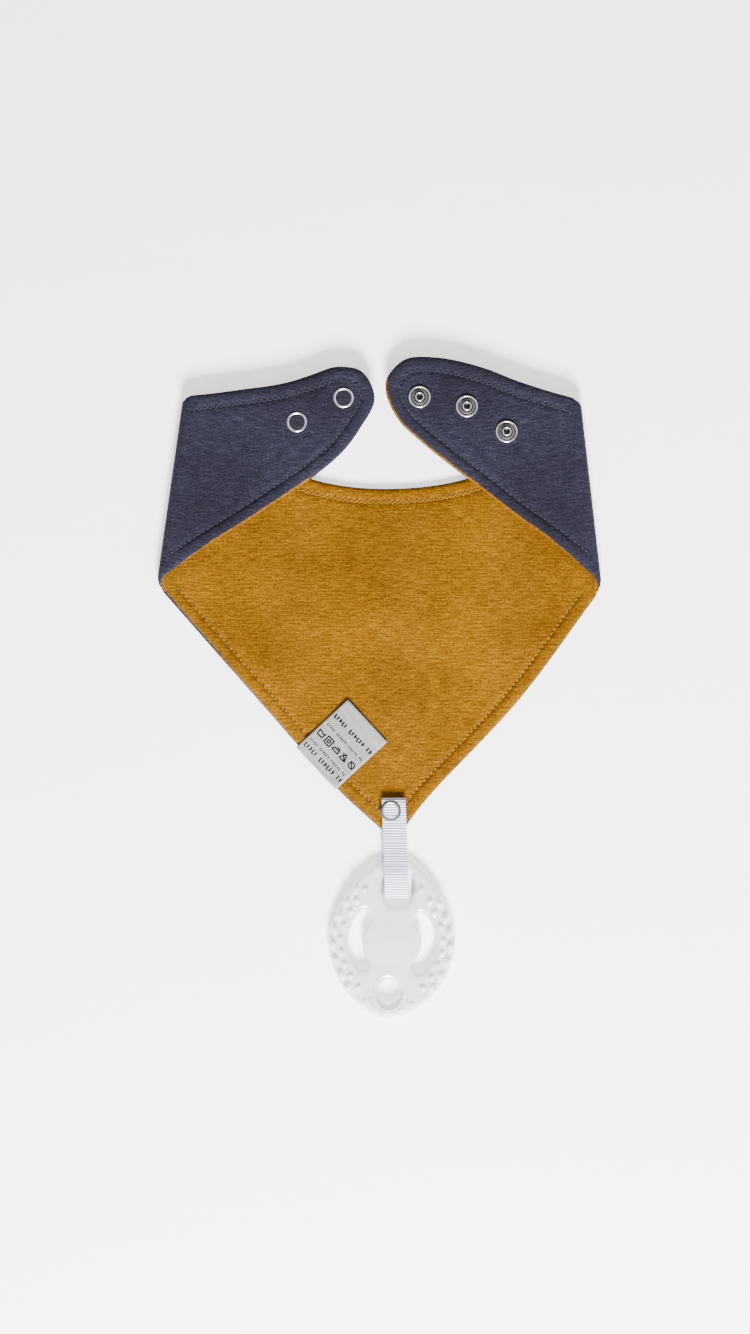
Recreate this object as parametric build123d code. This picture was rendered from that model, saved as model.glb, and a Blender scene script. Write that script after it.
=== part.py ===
from build123d import *
from math import cos, hypot, radians, sin
import os

# A reversible bandana bib of two jersey panels with a lining between them. It lies flat with both
# neck wings folded over, and a teether hangs from the strap at its tip.
# Millimetres: +X across the bib, +Y towards the neck, +Z up. The table is z = 0, where the outer
# panel lies. Every outline is the shape seen from above with the wings folded.

ON_BASE = (Align.CENTER, Align.CENTER, Align.MIN)
UNDER_TOP = (Align.CENTER, Align.CENTER, Align.MAX)
CUT_OVER = 1

# Fabric stack
PANEL_T = 0.8
LINING_T = 1.4
STACK_T = 2 * PANEL_T + LINING_T
WING_GAP = 2.2
FOLD_Z = STACK_T + WING_GAP / 2
FOLD_R = FOLD_Z
HINGE_GAP = 0.1

# The outermost line of each fold, from its lower to its upper corner
LEFT_FOLD = [(-105.6, 49.6), (-93.2, 137.0)]
RIGHT_FOLD = [(105.6, 47.3), (95.7, 134.2)]

# Heights in Y at which the main panel and each wing meet their fold, upper and lower
LEFT_MAIN_ENDS = (134.0, 44.6)
RIGHT_MAIN_ENDS = (131.2, 42.3)
LEFT_WING_ENDS = (138.4, 54.0)
RIGHT_WING_ENDS = (137.4, 53.4)

# Free edges, as the few points that each smooth curve passes between the folds and the tip
LOWER_LEFT_EDGE = [(-57.7, -5.9), (-20.0, -48.2), (3.0, -69.4)]
TIP_ARC = [(3.0, -69.4), (7.2, -71.2), (10.9, -68.3)]
LOWER_RIGHT_EDGE = [(10.9, -68.3), (22.1, -53.4), (66.3, -5.9)]
NECKLINE = [(66.0, 112.6), (43.5, 99.8), (2.6, 94.3), (-34.0, 99.6), (-60.0, 114.3)]
LEFT_WING_EDGE = [
    (-76.0, 141.9), (-48.0, 147.5), (-21.1, 153.2), (-8.0, 149.8), (-2.6, 138.9),
    (-7.5, 125.2), (-34.0, 98.6), (-68.2, 74.6),
]
RIGHT_WING_EDGE = [
    (74.0, 144.2), (48.0, 152.5), (24.0, 157.0), (8.6, 153.6), (2.3, 142.3),
    (9.3, 127.1), (43.5, 98.6), (79.6, 70.1),
]

# Ring snaps
LEFT_SNAPS = [(-39.1, 125.6), (-17.0, 137.1)]
RIGHT_SNAPS = [(19.0, 137.5), (41.4, 133.1), (60.2, 121.1)]
TIP_SNAP = (5.4, -58.5)
RING_R = 4.85
RING_HOLE_R = 3.2
RING_H = 0.8
RING_ROUND = 0.35
PRONG_COUNT = 5
PRONG_CIRCLE_R = 4.0
PRONG_R = 0.35
PRONG_HOLE_R = 0.4
RING_DIP = RING_H
CAP_DIP = 0.4
DIP_R = 5.45
DIP_WALL_R = 6.1
PRONG_BITE = 0.4
PRONG_L = STACK_T - RING_DIP - CAP_DIP + PRONG_BITE
PRONG_TIP_GAP = 0.1
STUD_R = 5.25
STUD_LIP_H = 1.1
STUD_DISH_R = 4.8
STUD_DISH_H = 0.7
POST_R = 2.15
POST_H = 2.9
POST_ROUND = 0.4
POST_HOLE_R = 1.5
POST_HOLE_FLOOR = 0.9
CHANNEL_R = (3.3, 4.6)
CHANNEL_H = 0.5
SOCKET_R = 5.1
SOCKET_FLANGE_H = 0.9
COLLAR_R = 3.6
SOCKET_H = 2.2
SOCKET_BORE_R = 2.3
GROOVE_R = 2.9
GROOVE_Z = (1.2, 1.8)
SPRING_R = 2.6
SPRING_WIRE_R = 0.2
SPRING_GAP = 1.2
SEAT_GAP = 0.3

# Care label, a square-cornered flap stitched near its upper right side
LABEL_CENTRE = (-17.9, -27.1)
LABEL_W = 27.5
LABEL_L = 32.4
LABEL_T = 0.3
LABEL_LIFT = 0.15
LABEL_TURN = -47.2

# Ribbon strap: a loop from the seam at the tip, through the teether, back up to the tip snap
RIBBON_X = 7.3
RIBBON_W = 11.4
RIBBON_T = 0.6
RIBBON_END_Y = -53.0
RIBBON_END_STOP_Y = -66.0
STRAP_AXIS_Y = -72.5
STRAP_AXIS_Z = 3.3
LOOP_START_Y = STRAP_AXIS_Y - 1.6
LOOP_END_Y = -101.0
FRONT_LEG_Z = 6.0
BACK_LEG_Z = 0.6
SEAM_Z = 1.5
SEAM_TAB_Y = (-71.4, -65.4)
TAB_ROOM = 0.2
BACK_LEG_RISE_Y = -79.0
LOOP_BEND_R = 2.65

# Teether, modelled upright about its own centre line and then turned
TEETHER_CENTRE = (6.0, -118.6)
TEETHER_TURN = -3.3
TEETHER_TOP = (0.0, 38.8)
TEETHER_SIDE = [(11.2, 33.4), (22.5, 20.6), (30.2, -1.5), (24.4, -21.5), (12.0, -34.0)]
TEETHER_BOTTOM = (0.0, -38.6)
TEETHER_T = 6.6
SLOT_CENTRE_Y = -1.9
SLOT_MID_R = 17.4
SLOT_W = 6.4
SLOT_HALF_ANGLE = 39
HOLE_Y = -26.0
HOLE_RX = 5.3
HOLE_RY = 6.0
STRAP_SLOT_W = 13.2
STRAP_SLOT_Y = (-105.2, -88.6)
STRAP_SLOT_CORNER_R = 5.0
BAR_Z = (1.4, 5.2)
BAR_RELIEF_W = 14.0
BAR_RELIEF_Y = (-92.0, -77.0)
DOME_R = 10.5
DOME_RISE = 1.6


def edge_face(*curves):
    """A flat face inside a closed chain of curves."""
    return make_face(Wire(list(curves)))


def slab(face, low, high):
    return extrude(Pos(0, 0, low) * face, amount=high - low)


def disc(centre, radius, low, high):
    base = Pos(centre[0], centre[1], low)
    return base * Cylinder(radius, high - low, align=ON_BASE)


def tube(outer, inner, low, high):
    return disc((0, 0), outer, low, high) - disc((0, 0), inner, low, high)


def prong_places(centre):
    step = 360 / PRONG_COUNT
    angles = [radians(i * step) for i in range(PRONG_COUNT)]
    return [(centre[0] + PRONG_CIRCLE_R * cos(a), centre[1] + PRONG_CIRCLE_R * sin(a)) for a in angles]


def fold_directions(fold):
    """Unit vectors along a fold and to its right."""
    low, high = fold
    along = Vector(high[0] - low[0], high[1] - low[1]).normalized()
    return along, Vector(along.Y, -along.X)


def hinge_point(fold, y, inset=0):
    """The point at height y on a fold's hinge line, which lies inside the fold by its radius."""
    side = -1 if fold[0][0] < 0 else 1
    along, right = fold_directions(fold)
    start = Vector(*fold[0]) - right * (side * (FOLD_R + inset))
    return start + along * ((y - start.Y) / along.Y)


def main_outline():
    left_top, left_low = [hinge_point(LEFT_FOLD, y, HINGE_GAP) for y in LEFT_MAIN_ENDS]
    right_top, right_low = [hinge_point(RIGHT_FOLD, y, HINGE_GAP) for y in RIGHT_MAIN_ENDS]
    lower_left = Spline(left_low, *LOWER_LEFT_EDGE)
    tip = ThreePointArc(*TIP_ARC)
    lower_right = Spline(*LOWER_RIGHT_EDGE, right_low)
    neck = Spline(right_top, *NECKLINE, left_top)
    sides = [Line(right_low, right_top), Line(left_top, left_low)]
    return edge_face(lower_left, tip, lower_right, sides[0], neck, sides[1])


def wing_outline(fold, ends, edge_points):
    top, low = [hinge_point(fold, y, HINGE_GAP) for y in ends]
    return edge_face(Spline(top, *edge_points, low), Line(low, top))


def fabric_stack(outline, snaps, outer_dip, inner_dip):
    """Outer panel, lining and inner panel, outer side down, pressed together at each snap."""
    inner_low = STACK_T - PANEL_T
    outer = slab(outline, 0, PANEL_T)
    lining = slab(outline, PANEL_T, inner_low)
    inner = slab(outline, inner_low, STACK_T)
    for snap in snaps:
        outer += disc(snap, DIP_WALL_R, PANEL_T, PANEL_T + outer_dip)
        outer -= disc(snap, DIP_R, 0, outer_dip)
        inner += disc(snap, DIP_WALL_R, inner_low - inner_dip, inner_low)
        inner -= disc(snap, DIP_R, STACK_T - inner_dip, STACK_T)
        lining -= disc(snap, DIP_WALL_R, PANEL_T, PANEL_T + outer_dip)
        lining -= disc(snap, DIP_WALL_R, inner_low - inner_dip, inner_low)
        for place in prong_places(snap):
            hole = disc(place, PRONG_HOLE_R, 0, STACK_T)
            outer -= hole
            lining -= hole
            inner -= hole
    return outer, lining, inner


def prong_ring():
    """An open ring whose prongs go down through the fabric and curl inside the piece behind it."""
    ring = tube(RING_R, RING_HOLE_R, 0, RING_H)
    ring = fillet(ring.edges().filter_by(GeomType.CIRCLE).group_by(Axis.Z)[-1], RING_ROUND)
    for place in prong_places((0, 0)):
        ring += disc(place, PRONG_R, -PRONG_L, RING_H / 2)
    return ring


def stud():
    """The half with the post: a dished flange with a channel beneath it for the ring's prongs."""
    body = disc((0, 0), STUD_R, 0, STUD_LIP_H)
    dish = Cone(POST_R, STUD_DISH_R, STUD_LIP_H - STUD_DISH_H, align=ON_BASE)
    body -= Pos(0, 0, STUD_DISH_H) * dish
    body -= tube(CHANNEL_R[1], CHANNEL_R[0], 0, CHANNEL_H)
    post = disc((0, 0), POST_R, 0, POST_H)
    post = fillet(post.edges().group_by(Axis.Z)[-1], POST_ROUND)
    body += post
    body -= disc((0, 0), POST_HOLE_R, POST_HOLE_FLOOR, POST_H)
    return body


def socket():
    """The half with the bore: a flange with the prong channel, and a collar grooved for a spring."""
    body = disc((0, 0), SOCKET_R, 0, SOCKET_FLANGE_H)
    body -= tube(CHANNEL_R[1], CHANNEL_R[0], 0, CHANNEL_H)
    collar = disc((0, 0), COLLAR_R, 0, SOCKET_H)
    body += fillet(collar.edges().group_by(Axis.Z)[-1], RING_ROUND)
    body -= disc((0, 0), SOCKET_BORE_R, 0, SOCKET_H)
    body -= disc((0, 0), GROOVE_R, *GROOVE_Z)
    return body


def socket_spring():
    """The split wire ring that grips a post."""
    ring = Pos(0, 0, sum(GROOVE_Z) / 2) * Torus(SPRING_R, SPRING_WIRE_R)
    return ring - Pos(SPRING_R, 0, sum(GROOVE_Z) / 2) * Box(SPRING_R, SPRING_GAP, 1)


def facing_up(shape, place, z):
    return Pos(place[0], place[1], z) * shape


def facing_down(shape, place, z):
    return Pos(place[0], place[1], z) * Rot(180, 0, 0) * shape


def fold_strip(fold, side, inner_r, outer_r):
    """One layer's half turn round a fold. side is -1 for the left fold and 1 for the right one."""
    low, high = fold
    length = hypot(high[0] - low[0], high[1] - low[1])
    along, right = fold_directions(fold)
    start = hinge_point(fold, low[1]) + Vector(0, 0, FOLD_Z)
    turn = tube(outer_r, inner_r, 0, length)
    half = turn & Pos(outer_r, 0, length / 2) * Box(2 * outer_r, 2 * outer_r, length)
    return Plane(origin=start, x_dir=right * side, z_dir=along) * half


def mirrored_over(shape):
    """A wing's piece turned over, from lying beside the main panel to lying folded on top of it."""
    return mirror(shape, about=Plane.XY.offset(FOLD_Z))


def care_label():
    flap = Box(LABEL_W, LABEL_L, LABEL_T, align=ON_BASE)
    place = Pos(LABEL_CENTRE[0], LABEL_CENTRE[1], STACK_T + LABEL_LIFT)
    return place * Rot(0, 0, LABEL_TURN) * flap


def ribbon(line):
    """A flat strap with the (y, z) line as its middle."""
    side = Plane(origin=(RIBBON_X - RIBBON_W / 2, 0, 0), x_dir=(0, 1, 0), z_dir=(1, 0, 0))
    return extrude(side * trace(line, RIBBON_T), amount=RIBBON_W)


def snap_top_z():
    """The height of the ribbon's lower side where its socket sits pressed onto the tip stud."""
    return STACK_T - CAP_DIP + STUD_DISH_H + SEAT_GAP + SOCKET_H


def ribbon_end():
    z = snap_top_z() + RIBBON_T / 2
    strip = ribbon(Line((RIBBON_END_STOP_Y, z), (RIBBON_END_Y, z)))
    for place in prong_places(TIP_SNAP):
        strip -= disc(place, PRONG_HOLE_R, z - RIBBON_T, z + RIBBON_T)
    return strip


def ribbon_front_bend():
    z = snap_top_z() + RIBBON_T / 2
    return ribbon(Line((LOOP_START_Y, FRONT_LEG_Z), (RIBBON_END_STOP_Y, z)))


def ribbon_loop():
    points = [
        (LOOP_START_Y, FRONT_LEG_Z),
        (LOOP_END_Y, FRONT_LEG_Z),
        (LOOP_END_Y, BACK_LEG_Z),
        (BACK_LEG_RISE_Y, BACK_LEG_Z),
        (LOOP_START_Y, SEAM_Z),
    ]
    return ribbon(FilletPolyline(*points, radius=LOOP_BEND_R))


def ribbon_seam_tab():
    return ribbon(Line((SEAM_TAB_Y[0], SEAM_Z), (SEAM_TAB_Y[1], SEAM_Z)))


def teether_outline():
    left_side = [(-x, y) for x, y in reversed(TEETHER_SIDE)]
    return edge_face(Spline(TEETHER_TOP, *TEETHER_SIDE, TEETHER_BOTTOM, *left_side, periodic=True))


def side_slot():
    arc = CenterArc((0, SLOT_CENTRE_Y), SLOT_MID_R, -SLOT_HALF_ANGLE, 2 * SLOT_HALF_ANGLE)
    ends = [Pos(*(arc @ t)) * Circle(SLOT_W / 2) for t in (0, 1)]
    return trace(arc, SLOT_W) + ends


def teether():
    right_slot = side_slot()
    flat = teether_outline() - right_slot - mirror(right_slot, about=Plane.YZ)
    flat -= Pos(0, HOLE_Y) * Ellipse(HOLE_RX, HOLE_RY)
    body = extrude(flat, amount=TEETHER_T)
    body += Pos(0, SLOT_CENTRE_Y, TEETHER_T) * dome()
    body = Pos(*TEETHER_CENTRE, 0) * Rot(0, 0, TEETHER_TURN) * body
    slot_y = sum(STRAP_SLOT_Y) / 2
    slot_l = STRAP_SLOT_Y[1] - STRAP_SLOT_Y[0]
    slot = Pos(RIBBON_X, slot_y) * RectangleRounded(STRAP_SLOT_W, slot_l, STRAP_SLOT_CORNER_R)
    body -= slab(slot, -1, TEETHER_T + DOME_RISE)
    for low, high in ((-CUT_OVER, BAR_Z[0]), (BAR_Z[1], TEETHER_T + CUT_OVER)):
        relief = Pos(RIBBON_X, sum(BAR_RELIEF_Y) / 2, (low + high) / 2)
        body -= relief * Box(BAR_RELIEF_W, BAR_RELIEF_Y[1] - BAR_RELIEF_Y[0], high - low)
    return body


def dome():
    ball_r = (DOME_R**2 + DOME_RISE**2) / (2 * DOME_RISE)
    ball = Pos(0, 0, DOME_RISE - ball_r) * Sphere(ball_r)
    return ball & disc((0, 0), DOME_R + CUT_OVER, 0, DOME_RISE)


def bib_parts():
    outer, lining, inner = fabric_stack(main_outline(), [TIP_SNAP], RING_DIP, CAP_DIP)
    tab_space = Pos(RIBBON_X, sum(SEAM_TAB_Y) / 2, SEAM_Z)
    tab_l = SEAM_TAB_Y[1] - SEAM_TAB_Y[0]
    lining -= tab_space * Box(RIBBON_W + 2 * TAB_ROOM, tab_l + TAB_ROOM, LINING_T + TAB_ROOM)
    parts = {
        "front_panel": outer,
        "absorbent_lining": lining,
        "back_panel": inner,
        "tip_prong_ring": facing_down(prong_ring(), TIP_SNAP, RING_DIP),
        "tip_snap_stud": facing_up(stud(), TIP_SNAP, STACK_T - CAP_DIP),
        "ribbon_seam_tab": ribbon_seam_tab(),
        "ribbon_front_bend": ribbon_front_bend(),
        "care_label": care_label(),
    }
    layers = {
        "front": (FOLD_R - PANEL_T, FOLD_R),
        "lining": (WING_GAP / 2 + PANEL_T, FOLD_R - PANEL_T),
        "back": (WING_GAP / 2, WING_GAP / 2 + PANEL_T),
    }
    for layer, (inner_r, outer_r) in layers.items():
        parts[f"left_fold_{layer}"] = fold_strip(LEFT_FOLD, -1, inner_r, outer_r)
        parts[f"right_fold_{layer}"] = fold_strip(RIGHT_FOLD, 1, inner_r, outer_r)
    return parts


def left_wing_parts():
    """The wing with the sockets on its inner side and plain rings on its outer side."""
    outline = wing_outline(LEFT_FOLD, LEFT_WING_ENDS, LEFT_WING_EDGE)
    outer, lining, inner = fabric_stack(outline, LEFT_SNAPS, RING_DIP, CAP_DIP)
    parts = {"left_wing_front": outer, "left_wing_lining": lining, "left_wing_back": inner}
    for number, snap in enumerate(LEFT_SNAPS, 1):
        cap_z = STACK_T - CAP_DIP
        parts[f"left_prong_ring_{number}"] = facing_down(prong_ring(), snap, RING_DIP)
        parts[f"left_snap_socket_{number}"] = facing_up(socket(), snap, cap_z)
        parts[f"left_socket_spring_{number}"] = facing_up(socket_spring(), snap, cap_z)
    return {name: mirrored_over(shape) for name, shape in parts.items()}


def right_wing_parts():
    """The wing with the studs on its outer side and plain rings on its inner side."""
    outline = wing_outline(RIGHT_FOLD, RIGHT_WING_ENDS, RIGHT_WING_EDGE)
    outer, lining, inner = fabric_stack(outline, RIGHT_SNAPS, CAP_DIP, RING_DIP)
    parts = {"right_wing_front": outer, "right_wing_lining": lining, "right_wing_back": inner}
    for number, snap in enumerate(RIGHT_SNAPS, 1):
        parts[f"right_snap_stud_{number}"] = facing_down(stud(), snap, CAP_DIP)
        parts[f"right_prong_ring_{number}"] = facing_up(prong_ring(), snap, STACK_T - RING_DIP)
    return {name: mirrored_over(shape) for name, shape in parts.items()}


def strap_parts():
    top = snap_top_z()
    ring_prongs = top + RIBBON_T
    return {
        "ribbon_end": ribbon_end(),
        "ribbon_prong_ring": facing_up(ribbon_ring(), TIP_SNAP, ring_prongs),
        "ribbon_snap_socket": facing_down(socket(), TIP_SNAP, top),
        "ribbon_socket_spring": facing_down(socket_spring(), TIP_SNAP, top),
        "ribbon_loop": ribbon_loop(),
        "teether": teether(),
    }


def ribbon_ring():
    """The ribbon's own prong ring: its prongs only go through the thin ribbon."""
    ring = prong_ring()
    reach = RIBBON_T + CHANNEL_H - PRONG_TIP_GAP
    return ring - Pos(0, 0, -reach) * Box(3 * RING_R, 3 * RING_R, PRONG_L, align=UNDER_TOP)


def main():
    os.makedirs("parts", exist_ok=True)
    parts = bib_parts() | left_wing_parts() | right_wing_parts() | strap_parts()
    for name, shape in parts.items():
        export_step(shape, f"parts/{name}.step")


main()
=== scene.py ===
import math

import bpy
import numpy as np
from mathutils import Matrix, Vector, noise
from mathutils.geometry import delaunay_2d_cdt


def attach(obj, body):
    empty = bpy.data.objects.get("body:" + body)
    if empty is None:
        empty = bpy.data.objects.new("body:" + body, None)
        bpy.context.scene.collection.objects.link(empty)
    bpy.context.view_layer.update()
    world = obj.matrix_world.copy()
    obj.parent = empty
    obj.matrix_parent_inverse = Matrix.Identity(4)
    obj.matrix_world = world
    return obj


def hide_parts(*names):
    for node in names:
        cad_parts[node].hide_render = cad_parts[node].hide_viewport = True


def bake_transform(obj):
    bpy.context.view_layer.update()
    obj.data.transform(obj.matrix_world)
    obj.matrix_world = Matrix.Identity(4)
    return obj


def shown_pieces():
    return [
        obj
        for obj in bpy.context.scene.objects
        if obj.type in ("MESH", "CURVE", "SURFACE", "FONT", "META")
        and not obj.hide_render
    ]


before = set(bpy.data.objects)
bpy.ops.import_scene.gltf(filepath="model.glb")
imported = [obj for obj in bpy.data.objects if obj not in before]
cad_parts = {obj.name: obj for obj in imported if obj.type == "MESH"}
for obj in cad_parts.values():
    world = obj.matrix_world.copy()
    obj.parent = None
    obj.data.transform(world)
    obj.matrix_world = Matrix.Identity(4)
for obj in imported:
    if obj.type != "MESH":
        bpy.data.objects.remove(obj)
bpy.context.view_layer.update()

MM = 0.001

# Cloth, in millimetres: the panels are one flat pattern, folded over a half turn at each side
HALF_T = 1.5
MAIN_MID_Z = 1.5
HINGE_Z = 4.1
FOLD_MID_R = 2.6
FOLD_R = 4.1
FOLD_LENGTH = math.pi * FOLD_MID_R
MAIN_TOP_LIMIT = 3.12
WING_LOW_LIMIT = 5.08
EDGE_ROUND = 1.7
HEM = 6.6
HEM_RINGS = (0.4, 0.95, 1.7, 2.7, 3.8, 4.9, 5.8, 6.6, 7.4, 8.4)
GRID = 1.9
HINGE_STEPS = 50
LOW_SKIN_DROP = 0.35

# Seams
STITCH_PITCH = 2.5
ZIGZAG_PITCH = 1.3
STITCH_LIFT = 0.16
# Radius of the dark disc that is painted shade for a needle hole
HOLE_SHADE_R = 0.62

LEFT_FOLD = [(-105.6, 49.6), (-93.2, 137.0)]
RIGHT_FOLD = [(105.6, 47.3), (95.7, 134.2)]
LEFT_MAIN_ENDS = (134.0, 44.6)
RIGHT_MAIN_ENDS = (131.2, 42.3)
LEFT_WING_ENDS = (138.4, 54.0)
RIGHT_WING_ENDS = (137.4, 53.4)
LOWER_LEFT_EDGE = [(-57.7, -5.9), (-20.0, -48.2), (3.0, -69.4)]
TIP = [(5.0, -70.7), (7.2, -71.2), (9.3, -70.4)]
LOWER_RIGHT_EDGE = [(10.9, -68.3), (22.1, -53.4), (66.3, -5.9)]
NECKLINE = [(66.0, 112.6), (43.5, 99.8), (2.6, 94.3), (-34.0, 99.6), (-60.0, 114.3)]
LEFT_WING_EDGE = [(-78.9, 139.4), (-64.6, 141.3), (-50.5, 143.2), (-41.0, 145.3), (-31.6, 148.4),
                  (-22.2, 151.7), (-17.4, 152.0), (-9.9, 150.7), (-5.2, 146.1), (-2.2, 136.1),
                  (-9.0, 122.8), (-17.4, 111.6), (-30.7, 100.2), (-45.8, 89.9), (-64.6, 77.6),
                  (-83.7, 65.8)]
RIGHT_WING_EDGE = [(80.4, 140.4), (64.2, 145.7), (52.2, 150.5), (40.0, 154.1), (28.0, 156.3), (13.4, 156.0),
                   (7.2, 151.7), (3.0, 145.1), (3.6, 137.2), (9.5, 125.9), (15.9, 119.5), (32.1, 106.2),
                   (46.5, 95.4), (64.2, 81.6), (83.7, 67.7)]
LEFT_SNAPS = [(-39.1, 125.6), (-17.0, 137.1)]
RIGHT_SNAPS = [(19.0, 137.5), (41.4, 133.1), (60.2, 121.1)]
TIP_SNAP = (5.4, -58.5)
RING_BASE_Z = 7.5
STUD_BASE_Z = 7.8
TIP_RING_BASE_Z = 6.42

# Care label
LABEL_CENTRE = (-17.9, -27.1)
LABEL_W = 27.5
LABEL_L = 33.4
LABEL_TURN = math.radians(-47.2)
SYMBOL_PITCH = 5.2
SYMBOL_ROW = -3.4

# Ribbon strap
RIBBON_W = 11.4
RIBBON_T = 0.5
RIB_PITCH = 1.24
STRAP_HINGE_Y = -72.5

# Teether
TEETHER_CENTRE = (6.0, -118.6)
TEETHER_TURN = math.radians(-3.3)
TEETHER_HALF = [(0.0, 38.8), (11.2, 33.4), (22.5, 20.6), (30.2, -1.5), (24.4, -21.5), (12.0, -34.0),
                (0.0, -38.6)]
TEETHER_HALF_T = 3.3
SLOT_CENTRE_Y = -1.9
SLOT_MID_R = 17.4
SLOT_W = 6.4
SLOT_HALF_ANGLE = math.radians(39)
HOLE_Y = -26.0
HOLE_R = (5.3, 6.0)
BEAD_PITCH = 7.6

# Stage, in metres
FLOOR_HALF = 3
FLOOR_Z = -0.0003
CAMERA_HEIGHT = 2.0
FRAME_HEIGHT = 0.634
SENSOR = 36


# ---------------- plane geometry

def between(t, low, high, a, b):
    """From a at low to b at high."""
    return (high - t) / (high - low) * a + (t - low) / (high - low) * b


def smooth_curve(points, step=1.4, closed=False):
    """A curve through the points, sampled about every step."""
    pts = np.array(points, float)
    if closed:
        pts = np.vstack([pts[-1], pts, pts[0], pts[1]])
    else:
        pts = np.vstack([2 * pts[0] - pts[1], pts, 2 * pts[-1] - pts[-2]])
    found = []
    for a, b, c, d in zip(pts, pts[1:], pts[2:], pts[3:]):
        k0, k1, k2, k3 = np.cumsum([0.0] + [max(np.linalg.norm(q - p), 1e-6) ** 0.5
                                            for p, q in ((a, b), (b, c), (c, d))])
        count = max(2, int(round(np.linalg.norm(c - b) / step)))
        t = np.linspace(k1, k2, count, endpoint=False)[:, None]
        ab, bc, cd = between(t, k0, k1, a, b), between(t, k1, k2, b, c), between(t, k2, k3, c, d)
        abc, bcd = between(t, k0, k2, ab, bc), between(t, k1, k3, bc, cd)
        found.append(between(t, k1, k2, abc, bcd))
    if not closed:
        found.append(pts[-2][None])
    return np.vstack(found)


def straight(a, b, count):
    """Points from a to b, both included."""
    return np.array(a, float) + np.linspace(0, 1, count + 1)[:, None] * (np.array(b) - np.array(a))


def nearest(points, starts, ends):
    """Distance to the nearest segment, and the place along the whole chain of segments."""
    along = ends - starts
    lengths = np.linalg.norm(along, axis=1)
    offset = np.concatenate([[0], np.cumsum(lengths)[:-1]])
    distance, place = np.empty(len(points)), np.empty(len(points))
    for low in range(0, len(points), 2000):
        p = points[low:low + 2000, None, :] - starts[None]
        t = np.clip((p * along).sum(2) / np.maximum(lengths**2, 1e-12), 0, 1)
        gap = np.linalg.norm(p - t[..., None] * along, axis=2)
        best = gap.argmin(1)
        rows = np.arange(len(best))
        distance[low:low + 2000] = gap[rows, best]
        place[low:low + 2000] = offset[best] + t[rows, best] * lengths[best]
    return distance, place


def inside(points, loop):
    """Whether each point is inside the closed loop."""
    a, b = loop, np.roll(loop, -1, axis=0)
    found = np.zeros(len(points), bool)
    for low in range(0, len(points), 4000):
        x, y = points[low:low + 4000, 0][:, None], points[low:low + 4000, 1][:, None]
        crosses = (a[:, 1] > y) != (b[:, 1] > y)
        rise = np.where(b[:, 1] == a[:, 1], 1e-12, b[:, 1] - a[:, 1])
        at = a[:, 0] + (y - a[:, 1]) * (b[:, 0] - a[:, 0]) / rise
        found[low:low + 4000] = (crosses & (x < at)).sum(1) % 2 == 1
    return found


def within(points, loops):
    """Whether each point is inside the first loop and outside the others."""
    found = inside(points, loops[0])
    for loop in loops[1:]:
        found &= ~inside(points, loop)
    return found


def inward_normals(loop):
    """Unit normals pointing into the closed loop, one at each of its points."""
    along = np.roll(loop, -1, axis=0) - np.roll(loop, 1, axis=0)
    along /= np.maximum(np.linalg.norm(along, axis=1), 1e-9)[:, None]
    area = (loop[:, 0] * np.roll(loop[:, 1], -1) - loop[:, 1] * np.roll(loop[:, 0], -1)).sum()
    return np.stack([-along[:, 1], along[:, 0]], 1) * (1 if area > 0 else -1)


def left_normals(line):
    """Unit normals to the left of a line of points."""
    along = np.gradient(line, axis=0)
    along /= np.linalg.norm(along, axis=1)[:, None]
    return np.stack([-along[:, 1], along[:, 0]], 1)


def smoothstep(x, low, high):
    t = np.clip((x - low) / (high - low), 0, 1)
    return t * t * (3 - 2 * t)


def triangulate(loops, ring_steps, grid, strip=None):
    """Points and triangles filling the first loop, less the other loops.

    Rings of points follow each edge. Up to strip along the first axis, the points stand in even rows,
    so that a turn there is smooth.
    """
    starts = np.vstack(loops)
    ends = np.vstack([np.roll(loop, -1, axis=0) for loop in loops])
    edges, first = [], 0
    for loop in loops:
        count = len(loop)
        edges += [(first + i, first + (i + 1) % count) for i in range(count)]
        first += count
    extra = []
    for number, loop in enumerate(loops):
        normals = inward_normals(loop) * (1 if number == 0 else -1)
        for step in ring_steps:
            ring = loop + normals * step
            extra.append(ring[nearest(ring, starts, ends)[0] > step * 0.93])
    low, high = loops[0].min(0), loops[0].max(0)
    rows = np.arange(low[1], high[1], grid * math.sqrt(3) / 2)
    cells = np.array([(x, y) for i, y in enumerate(rows)
                      for x in np.arange(low[0] + (i % 2) * grid / 2, high[0], grid)])
    extra.append(cells[nearest(cells, starts, ends)[0] > ring_steps[-1] + grid * 0.6])
    extra = np.vstack(extra)
    if strip:
        across, down = np.meshgrid(np.linspace(0, strip, 21)[1:], np.arange(low[1], high[1], grid))
        rows = np.stack([across.ravel(), down.ravel()], 1)
        rows = rows[nearest(rows, starts, ends)[0] > 0.3]
        extra = np.vstack([extra[extra[:, 0] > strip + 0.3], rows])
    points = np.vstack([starts, extra[within(extra, loops)]])
    verts, _, faces, origin, _, _ = delaunay_2d_cdt([Vector(p) for p in points], edges, [], 0, 1e-6)
    verts = np.array([tuple(v) for v in verts])
    faces = np.array(faces)
    faces = faces[within(verts[faces].mean(1), loops)]
    a, b, c = verts[faces[:, 0]], verts[faces[:, 1]], verts[faces[:, 2]]
    turn = (b[:, 0] - a[:, 0]) * (c[:, 1] - a[:, 1]) - (b[:, 1] - a[:, 1]) * (c[:, 0] - a[:, 0])
    faces[turn < 0] = faces[turn < 0][:, ::-1]
    on_edge = np.array([any(i < len(starts) for i in made) for made in origin])
    return verts, faces, on_edge


# ---------------- meshes

def linked(name, data):
    """A new object in the scene."""
    obj = bpy.data.objects.new(name, data)
    bpy.context.scene.collection.objects.link(obj)
    return obj


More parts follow.
